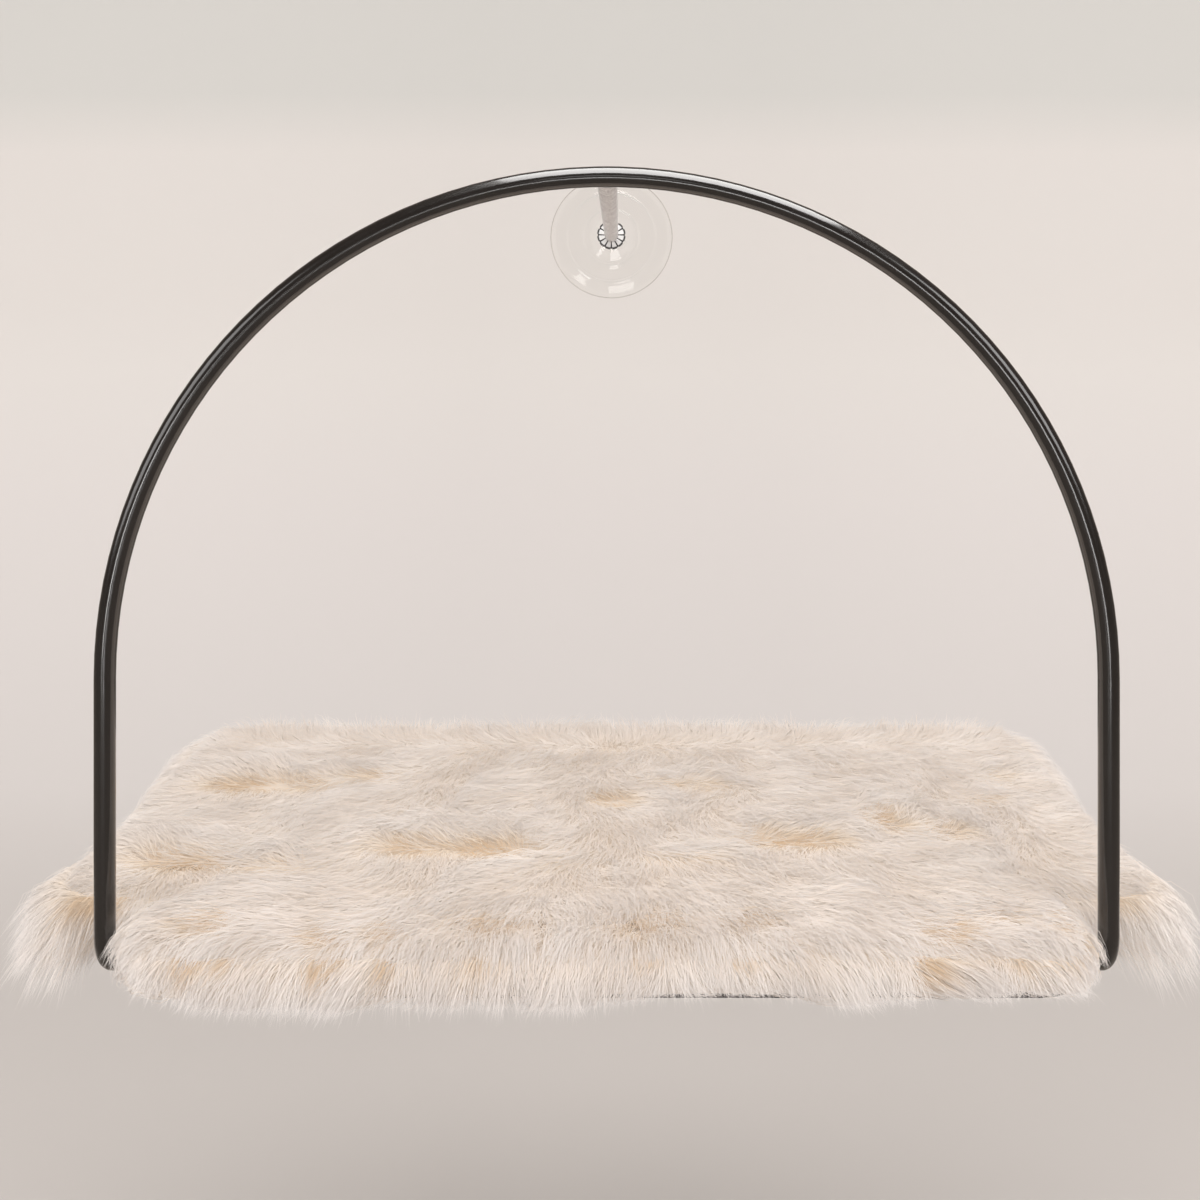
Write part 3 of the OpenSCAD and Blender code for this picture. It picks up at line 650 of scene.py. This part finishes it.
# Ends of the fringe: x or y and height or reach in mm
FRONT_TOP = [(-224, 21), (-212, 17), (-194, 12), (-176, 8.5), (-166, 6.5), (-30, 6.5), (-8, 8), (16, 12), (24, 14),
             (76, 14), (90, 10), (108, 8.5), (124, 10), (140, 14), (203, 14), (212, 11), (224, 13)]
SIDE_REACH = [(-290, 23), (-276, 22), (-258, 16), (-240, 8), (-225, 2), (-200, 2), (-160, 9), (-130, 13), (-100, 17),
              (-60, 20), (-34, 19)]
SIDE_TOP = [(-290, 4), (-258, 8), (-200, 13), (-160, 16), (-100, 20), (-34, 19)]
SIDE_LOW = [(-290, -20), (-262, -15), (-235, -2), (-200, 4), (-100, 8), (-34, 8)]
hair_rng = np.random.default_rng(11)


def ripples(seed, wave, count=7):
    """A smooth random field over the plan, about -1 to 1, with the given wave length."""
    draw = np.random.default_rng(seed)
    way = draw.uniform(0, 2 * math.pi, count)
    rate = 2 * math.pi / (wave * draw.uniform(0.6, 1.6, count))
    start = draw.uniform(0, 2 * math.pi, count)

    def field(x, y):
        total = 0
        for a, k, s in zip(way, rate, start):
            total = total + np.sin(k * (x * math.cos(a) + y * math.sin(a)) + s)
        return total / math.sqrt(count)
    return field


turns_field = ripples(4, 80 * MM)
tone_field = ripples(5, 45 * MM)


def unit(v):
    return v / (np.linalg.norm(v, axis=-1, keepdims=True) + 1e-9)


def turned(x, y, angle):
    return x * np.cos(angle) - y * np.sin(angle), x * np.sin(angle) + y * np.cos(angle)


def left_of(way):
    """Plan directions turned a quarter to the left."""
    return way[:, ::-1] * np.array([-1, 1])


def outer_share(x):
    """How far a place lies in the left or right end of the mat, from 0 to 1."""
    return smooth(np.abs(x), 245 * MM, 265 * MM)


def combing(x, y):
    """Plan direction in which the hair lies at a place, and how much its roots show there."""
    front = smooth(-y, 306 * MM, 326 * MM)
    band = smooth(-y, 262 * MM, 285 * MM) * (1 - front)
    back = smooth(y, -95 * MM, -55 * MM)
    side = smooth(np.abs(x), 236 * MM, 270 * MM) * (1 - front)
    fan = np.clip((x + 6 * MM) / (150 * MM), -1, 1)
    pull, _, gold = parting_sum(x, y)
    fx = 0.4 * np.tanh(x / (110 * MM)) * (1 - band) + 0.9 * band * fan
    fy = -0.75 + pull * (1 - 0.6 * band)
    fx = fx * (1 - front) + fan * front
    fy = fy * (1 - front) - (1.0 - 0.5 * pull) * front
    fy = fy * (1 - back) + back
    fx = fx + 1.6 * side * np.sign(x)
    fx, fy = turned(fx, fy, 0.5 * turns_field(x, y) * (1 - 0.7 * front))
    size = np.hypot(fx, fy) + 1e-6
    return fx / size, fy / size, gold


def legs_apart(p):
    """Pushes points out of the frame tube at the legs and feet."""
    for leg_x in (-LEG_X, LEG_X):
        dx, dy = p[..., 0] - leg_x, p[..., 1] - HOOP_Y
        dist = np.hypot(dx, dy) + 1e-9
        push = np.where((dist < TUBE_ROOM) & (p[..., 2] > -4 * MM), TUBE_ROOM / dist, 1.0)
        p[..., 0] = leg_x + dx * push
        p[..., 1] = HOOP_Y + dy * push
    return p


def along_run(value, run):
    """The value that a list of (place, value) pairs in mm gives at a place, in metres."""
    places, sizes = zip(*sorted(run))
    return np.interp(value, np.array(places) * MM, np.array(sizes) * MM)


def within_sides(line):
    """Hair near the sides, laid over so that it stays within the mat's measured half widths."""
    x, y = line[..., 0], line[..., 1]
    most = np.where(x < 0, along_run(y, SIDE_LEFT), along_run(y, SIDE_RIGHT)) - SIDE_EASE
    over = np.abs(x) - most
    eased = most + SIDE_EASE * np.tanh(np.clip(over, 0, None) / (11 * MM))
    line[..., 0] = np.where(over > 0, np.sign(x) * eased, x)
    return line


def fringe_aim(x, y, low):
    """How far out and at what height the fringe ends, by its place on the edge and how low it is rooted."""
    front = smooth(-y, 332 * MM, 341 * MM)
    outer = outer_share(x)
    tongue = (1 - outer) * smooth(-y, 288 * MM, 298 * MM) * (1 - front)
    rear = (1 - outer) * (1 - smooth(-y, 60 * MM, 90 * MM))
    notch = np.clip(1 - front - outer - tongue - rear, 0, 1)
    ends = outer * (1 - front)
    reach = along_run(y, SIDE_REACH) * ends + MM * (14 * front + 7 * tongue + 8 * rear + 10 * notch)
    reach = reach * (1 - 0.55 * low * (1 - outer))
    front_z = along_run(x, FRONT_TOP) * front
    high_z = front_z + along_run(y, SIDE_TOP) * ends + MM * (17 * tongue + 14 * rear + 4 * notch)
    low_z = front_z + along_run(y, SIDE_LOW) * ends + MM * (9 * tongue + 6 * rear - 10 * notch)
    return reach, high_z + (low_z - high_z) * low


def lock_centres(x, y, cell, seed):
    """The nearest of the jittered lock centres to each place, with two random numbers from -0.5 to 0.5 of its own."""
    gx, gy = np.floor(x / cell).astype(int), np.floor(y / cell).astype(int)
    table = np.random.default_rng(seed).random((400, 400, 4))
    best = np.full(len(x), 1e9)
    out = np.zeros((len(x), 4))
    for ox in (-1, 0, 1):
        for oy in (-1, 0, 1):
            cx, cy = gx + ox, gy + oy
            drawn = table[cx % 400, cy % 400]
            px, py = (cx + drawn[:, 0]) * cell, (cy + drawn[:, 1]) * cell
            dist = (px - x) ** 2 + (py - y) ** 2
            near = dist < best
            best = np.where(near, dist, best)
            out[near] = np.column_stack([px, py, drawn[:, 2] - 0.5, drawn[:, 3] - 0.5])[near]
    return out.T


def strands(name, line, width, cover, values):
    """Closed three-sided hairs that taper to a point, one for each line of points.
    Their normals lean to the normal of the whole cover, so the pile shades as one soft mass."""
    count, rings = line.shape[0], line.shape[1] - 1
    along = unit(line[:, 1:] - line[:, :-1])
    along = np.concatenate([along, along[:, -1:]], axis=1)
    spin = hair_rng.normal(size=(count, 1, 3))
    across = unit(np.cross(along, spin))
    other = np.cross(along, across)
    taper = np.array(TAPERS[rings])
    corners, sides = [], []
    for k in range(3):
        a = 2 * math.pi * k / 3
        off = across[:, :rings] * math.cos(a) + other[:, :rings] * math.sin(a)
        corners.append(line[:, :rings] + off * (width[:, None, None] * taper[None, :, None]))
        sides.append(off)
    body = np.stack(corners, axis=2).reshape(count, rings * 3, 3)
    points = np.concatenate([body, line[:, rings:]], axis=1)
    outward = np.stack(sides, axis=2).reshape(count, rings * 3, 3)
    outward = np.concatenate([outward, along[:, rings:] * 0], axis=1)
    normals = unit(outward * (1 - COVER_SHARE) + cover[:, None, :] * COVER_SHARE)
    per = rings * 3 + 1
    one = [(0, 2, 1)]
    for r in range(rings - 1):
        for k in range(3):
            a, b = r * 3 + k, r * 3 + (k + 1) % 3
            one += [(a, b, b + 3), (a, b + 3, a + 3)]
    top = (rings - 1) * 3
    one += [(top + k, top + (k + 1) % 3, per - 1) for k in range(3)]
    faces = (np.array(one)[None] + (np.arange(count) * per)[:, None, None]).reshape(-1, 3)
    t = np.concatenate([np.repeat(np.arange(rings) / rings, 3), [1.0]])
    attributes = {"along": np.broadcast_to(t, (count, per))}
    for key, numbers in values.items():
        attributes[key] = np.repeat(numbers[:, None], per, axis=1)
    made = mesh_piece(name, points.reshape(-1, 3), faces, attributes)
    made.data.normals_split_custom_set_from_vertices(normals.reshape(-1, 3))
    return made


fur_finish = Finish("cream_fur")
along = fur_finish.attribute("along")
tone = fur_finish.attribute("tone")
bare = fur_finish.attribute("bare")
root_colour = fur_finish.mix(bare, colour(212, 197, 180), colour(194, 166, 135))
# The tone also carries painted light and shade: lighter at the ends of the fringe, darker along the crease behind the
# front roll.
body_colour = fur_finish.mix(tone, colour(210, 197, 187), colour(223, 213, 206))
shaft = fur_finish.mix(fur_finish.stretch(along + bare * -0.6, 0.0, 0.4), root_colour, body_colour)
root_glow = fur_finish.mix(bare, colour(200, 186, 171), colour(176, 150, 122))
tip_glow = fur_finish.mix(tone, colour(122, 117, 114), colour(160, 155, 151))
fur_finish.set(
    Base_Color=fur_finish.mix(fur_finish.stretch(along, 0.5, 1.0), shaft, colour(227, 220, 216)),
    Roughness=0.85,
    Specular_IOR_Level=0.1,
    Emission_Color=fur_finish.mix(fur_finish.stretch(along, 0.1, 0.9), root_glow, tip_glow),
    Emission_Strength=FUR_PAINTED_GLOW,
)


def lay_pile(name, line, width, cover, values, batch):
    """Hairs in pieces of one batch each, finished and set on the mat."""
    for part, start in enumerate(range(0, len(line), batch)):
        pick = slice(start, start + batch)
        pile = strands(f"{name}_{part + 1:02d}", line[pick], width[pick], cover[pick],
                       {key: numbers[pick] for key, numbers in values.items()})
        dress(pile, fur_finish)
        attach(pile, "mat")


def top_way(x, y, lift, twist):
    """The direction in which a hair leaves the ground at a place on top of the mat."""
    fx, fy, _ = combing(x, y)
    fx, fy = turned(fx, fy, twist)
    return np.column_stack([fx * np.cos(lift), fy * np.cos(lift), np.sin(lift)])


def hair(root, way, length, fall, t):
    """Points along hairs that set out in one direction and sink by their fall towards the tip."""
    down = np.array([0, 0, -1.0])[None, None, :] * fall[:, None, None]
    return root[:, None, :] + length[:, None, None] * (way[:, None, :] * (t - 0.28 * t * t) + down * t * t)


def top_pile(name, count, low_y, high_y, steps, batch):
    """Hair rooted on top of the mat between two places from front to back.
    Broad locks share a direction and a tone, and the tips of small tufts gather."""
    x = hair_rng.uniform(-HALF_W, HALF_W, int(count * 1.6))
    y = hair_rng.uniform(low_y, high_y, len(x))
    keep = inside(x, y) > 0
    x, y = x[keep][:count], y[keep][:count]
    count = len(x)
    _, _, lock_a, lock_b = lock_centres(x, y, LOCK_CELL, 21)
    tuft_x, tuft_y, tuft_a, tuft_b = lock_centres(x, y, TUFT_CELL, 22)
    gold_top = combing(x, y)[2]
    front = smooth(-y, 300 * MM, 325 * MM)
    back = smooth(y, -105 * MM, -50 * MM)
    tongue_side = smooth(np.abs(x), 206 * MM, 220 * MM) * smooth(-y, 290 * MM, 300 * MM)
    rim = smooth(inside(x, y), 0, 14 * MM)
    # Some hairs start above the ground, so that the pile is as thick as a real one with fewer hairs.
    raised = hair_rng.random(count) ** 0.8 * rim * (1 - 0.6 * np.clip(gold_top * 1.3, 0, 1))
    rise = 0.1 * front + 0.035 * fold_height(x, y) + 0.16 * lock_a
    lift = np.radians(hair_rng.normal(HAIR_LIFT, 7, count) + np.abs(hair_rng.normal(0, 16, count)) * back) + rise
    turn = 0.55 * lock_b
    root = np.column_stack([x, y, ground_z(x, y) - 0.4 * MM + raised * ROOT_SPREAD])
    ways = top_way(x, y, lift, hair_rng.normal(0, 0.22, count) + turn)
    tuft_root = np.column_stack([tuft_x, tuft_y, ground_z(tuft_x, tuft_y) + raised * ROOT_SPREAD])
    tuft_way = top_way(tuft_x, tuft_y, np.radians(HAIR_LIFT) + rise + 0.2 * tuft_a, turn + 0.5 * tuft_b)
    length = LEAST_LENGTH + MORE_LENGTH * hair_rng.random(count)
    length = length * (1 + 0.15 * front) * (1 - 0.45 * tongue_side) * (1 - 0.3 * (1 - rim))
    fall = hair_rng.uniform(0.08, 0.22, count)
    gather = np.clip(hair_rng.normal(0.34, 0.18, count), 0, 0.8)
    t = np.linspace(0, 1, steps + 1)[None, :, None]
    own = hair(root, ways, length, fall, t)
    line = own + (hair(tuft_root, tuft_way, length, fall, t) - own) * gather[:, None, None] * t ** 1.3
    arc = (8 * lock_a + 5 * tuft_b) * MM
    line[..., :2] += (left_of(ways[:, :2]) * arc[:, None])[:, None] * (t * (1 - t) * 2)
    out = np.clip(-inside(line[..., 0], line[..., 1]), 0, None)
    line = line + hair_rng.normal(0, 0.5 * MM, line.shape) * np.minimum(t * 2, 1)
    # Past the edge the hair droops towards the fringe; over the cover it stays above the ground.
    least_z = fringe_aim(x, y, 0)[1][:, None] + 5 * MM * hair_rng.random((count, 1))
    line[..., 2] = np.where(out > 0, np.maximum(line[..., 2] - out ** 2 / (15 * MM), least_z), line[..., 2])
    floor_z = ground_z(line[..., 0], line[..., 1]) + 0.3 * MM + (1 + 8 * raised)[:, None] * MM * t[..., 0]
    line[..., 2] = np.where(out < 1 * MM, np.maximum(line[..., 2], floor_z), line[..., 2])
    line = legs_apart(within_sides(line))
    shade = 0.5 + 0.3 * tone_field(x, y) + 0.22 * lock_a + 0.15 * tuft_b + hair_rng.normal(0, 0.08, count)
    # Painted shade: the tone is darker along the crease behind the front roll.
    shade = np.clip(shade, 0, 1) - 0.35 * bell(-y, 285 * MM, 22 * MM)
    width = hair_rng.uniform(0.12, 0.18, count) * MM * WIDTH_SHARE
    cover = np.tile([0, -0.25, 1.0], (count, 1))
    cover[:, 1] -= 0.5 * front
    cover = unit(cover + 0.25 * ways)
    golden = np.clip(gold_top * (0.87 + 0.7 * tuft_b) + hair_rng.normal(0, 0.08, count), 0, 1)
    golden = golden - 0.6 * np.clip(raised * 1.5, 0, 1) * (1 - golden)
    lay_pile(name, line, width, cover, {"tone": shade, "bare": golden}, batch)


top_pile("fur_pile_top", TOP_HAIRS, -290 * MM, MAT_BACK, 2, 19500)
top_pile("fur_pile_front", FRONT_HAIRS, MAT_FRONT, -286 * MM, 3, 12000)

# Fringe
# The hair rooted along the edge and on the skirt, which falls over the front, the sides and the rear.
# It is the same pile as on top, brushed outwards, so that it leaves the edge in long curved locks.
EDGE_HAIRS = int(37000 * COUNT_SHARE)
EDGE_LOCK, EDGE_TUFT = 14 * MM, 4 * MM
ON_ROLL = 0.45
# Golden streaks below the partings of the front: middle x and half width in mm, and strength
STREAKS = [(-190, 10, 0.9), (-132, 6, 0.9), (-103, 7, 0.9), (-60, 12, 0.6), (17, 10, 0.5), (66, 10, 0.5),
           (158, 11, 0.9), (189, 12, 0.6), (214, 6, 0.7), (-262, 12, 0.9), (262, 10, 0.5)]
edge_step = np.roll(cloth_edge, -1, axis=0) - cloth_edge
step_length = np.hypot(*edge_step.T)
edge_run = np.cumsum(step_length)


def edge_place(spot):
    """The place on the outline at a distance along it, and the way out from there."""
    spot = np.mod(spot, edge_run[-1])
    seg = np.minimum(np.searchsorted(edge_run, spot), len(edge_run) - 1)
    share = 1 - (edge_run[seg] - spot) / step_length[seg]
    return cloth_edge[seg] + edge_step[seg] * share[:, None], unit(-left_of(edge_step[seg]))


# More hairs stand on the left and right ends in front, and fewer along the rear.
spot = hair_rng.uniform(0, edge_run[-1], EDGE_HAIRS * 3)
tried = edge_place(spot)[0]
far = outer_share(tried[:, 0]) * smooth(-tried[:, 1], 225 * MM, 262 * MM)
rear_share = 1 - 0.45 * smooth(tried[:, 1], -90 * MM, -50 * MM)
spot = spot[hair_rng.random(len(spot)) < (0.5 + 0.45 * far) * rear_share][:EDGE_HAIRS]
edge_count = len(spot)

# Roots: the drop runs from 0 on top of the roll to 1 at the hem.
drop = hair_rng.random(edge_count) ** 1.1
p, out = edge_place(spot)
turn = np.radians(np.minimum(drop / ON_ROLL, 1) * 90)
skirt_low = hem_z(p[:, 0], p[:, 1]) + 0.8 * MM
roll_z = GROUND_TOP - rear_roll(p[:, 1]) - ROLL
root_z = np.where(drop < ON_ROLL, roll_z + ROLL * np.cos(turn),
                  roll_z - (drop - ON_ROLL) / (1 - ON_ROLL) * (roll_z - skirt_low))
root = np.column_stack([p + out * (ROLL * np.sin(turn) - 0.3 * MM)[:, None], root_z])

# Tips: they gather in tufts and locks along the edge, and slide with the combing of the top.
lock_spot, _, lock_a, lock_b = lock_centres(spot, drop * 10 * MM, EDGE_LOCK, 33)
tuft_spot, _, tuft_a, tuft_b = lock_centres(spot, drop * 20 * MM, EDGE_TUFT, 34)
gather = np.clip(hair_rng.normal(0.33, 0.2, edge_count), 0.0, 0.9)
tip_p, tip_out = edge_place(spot + (tuft_spot - spot) * gather + (lock_spot - spot) * 0.14)
fx, fy, bare_edge = combing(tip_p[:, 0], tip_p[:, 1])
flow = np.column_stack([fx, fy])
slide = flow - tip_out * np.sum(flow * tip_out, axis=1, keepdims=True)
sway = 0.8 * lock_b + 0.5 * tuft_b + 0.35 * turns_field(p[:, 0] * 2, p[:, 1] * 2)
sway = sway + hair_rng.normal(0, 0.3, edge_count)
slide = slide + left_of(tip_out) * sway[:, None]
tongue_end = smooth(np.abs(p[:, 0]), 196 * MM, 216 * MM) * smooth(-p[:, 1], 296 * MM, 304 * MM)
slide[:, 0] *= 1 - 0.95 * tongue_end * (np.sign(slide[:, 0]) == np.sign(p[:, 0]))
low = np.clip((drop - 0.25) / 0.75, 0, 1)
reach, end_z = fringe_aim(p[:, 0], p[:, 1], low)
vary = 1 + 0.36 * lock_a + 0.3 * tuft_a + hair_rng.normal(0, 0.17, edge_count)
by_leg = np.where(p[:, 0] < 0, 0.6, 0.35) * tongue_end * smooth(-p[:, 1], 316 * MM, 326 * MM)
reach = reach * vary * (1 - by_leg)
held_up = 0.2 * (1 - drop) + 0.6 * (1 - vary) + hair_rng.normal(0.03, 0.05, edge_count)
end_z = end_z + (root_z - end_z) * np.clip(held_up, -0.1, 0.7)
tip_plan = tip_p + tip_out * (ROLL + reach)[:, None] + slide * 15 * MM * (1 - 0.3 * drop)[:, None]
tip = np.column_stack([tip_plan, end_z])

# Each hair is a curve from root to tip that sets out from the cloth.
size = np.linalg.norm(tip - root, axis=1)
upward = 0.5 * np.cos(turn) - 0.1 * np.sin(turn) + hair_rng.normal(0, 0.09, edge_count)
bend = np.column_stack([out * 0.8 + slide * 0.35, upward])
control = root + unit(bend) * (size * 0.52)[:, None]
control[:, :2] -= left_of(tip_out) * ((7 * lock_b + 5 * tuft_a) * MM)[:, None]
control = control + hair_rng.normal(0, 1.6 * MM, control.shape)
t = np.linspace(0, 1, 4)[None, :, None]
line = (1 - t) ** 2 * root[:, None] + 2 * t * (1 - t) * control[:, None] + t * t * tip[:, None]
depth = inside(line[..., 0], line[..., 1])
sunk = (depth > -ROLL - 0.4 * MM) & (line[..., 2] < roll_z[:, None] + ROLL - 1 * MM)
line[..., :2] += out[:, None, :] * np.where(sunk, depth + ROLL + 0.5 * MM, 0)[..., None]
line[..., 1] = np.minimum(line[..., 1], -3 * MM)
line = legs_apart(within_sides(line))

# Painted light: the tone is raised towards the left and right ends, so the fluff there, which lies in the shade of the
# mat, comes out lighter and glows more.
edge_tone_and_side_light = 0.55 + 0.45 * outer_share(p[:, 0]) + 0.25 * tone_field(p[:, 0], p[:, 1]) + 0.35 * lock_a + 0.2 * tuft_b
edge_tone_and_side_light = np.clip(edge_tone_and_side_light + hair_rng.normal(0, 0.08, edge_count), 0, 1)
width = hair_rng.uniform(0.12, 0.2, edge_count) * MM * WIDTH_SHARE
cover = np.column_stack([out * (0.3 + 0.3 * np.sin(turn))[:, None], 0.6 * np.cos(turn) + 0.9])
cover = unit(cover + np.array([0, -0.35, 0]))
streak = 0 * edge_tone_and_side_light
for px, half_x, share in STREAKS:
    streak = np.maximum(streak, share * bell(p[:, 0] / MM + 10 * slide[:, 0], px, half_x))
streak = streak * smooth(-p[:, 1], 262 * MM, 276 * MM) * (1 - 0.5 * low)
golden = np.clip(np.maximum(bare_edge * 0.7, streak) + hair_rng.normal(0, 0.08, edge_count), 0, 1)
lay_pile("fur_pile_edge", line, width, cover, {"tone": edge_tone_and_side_light, "bare": golden}, 12000)
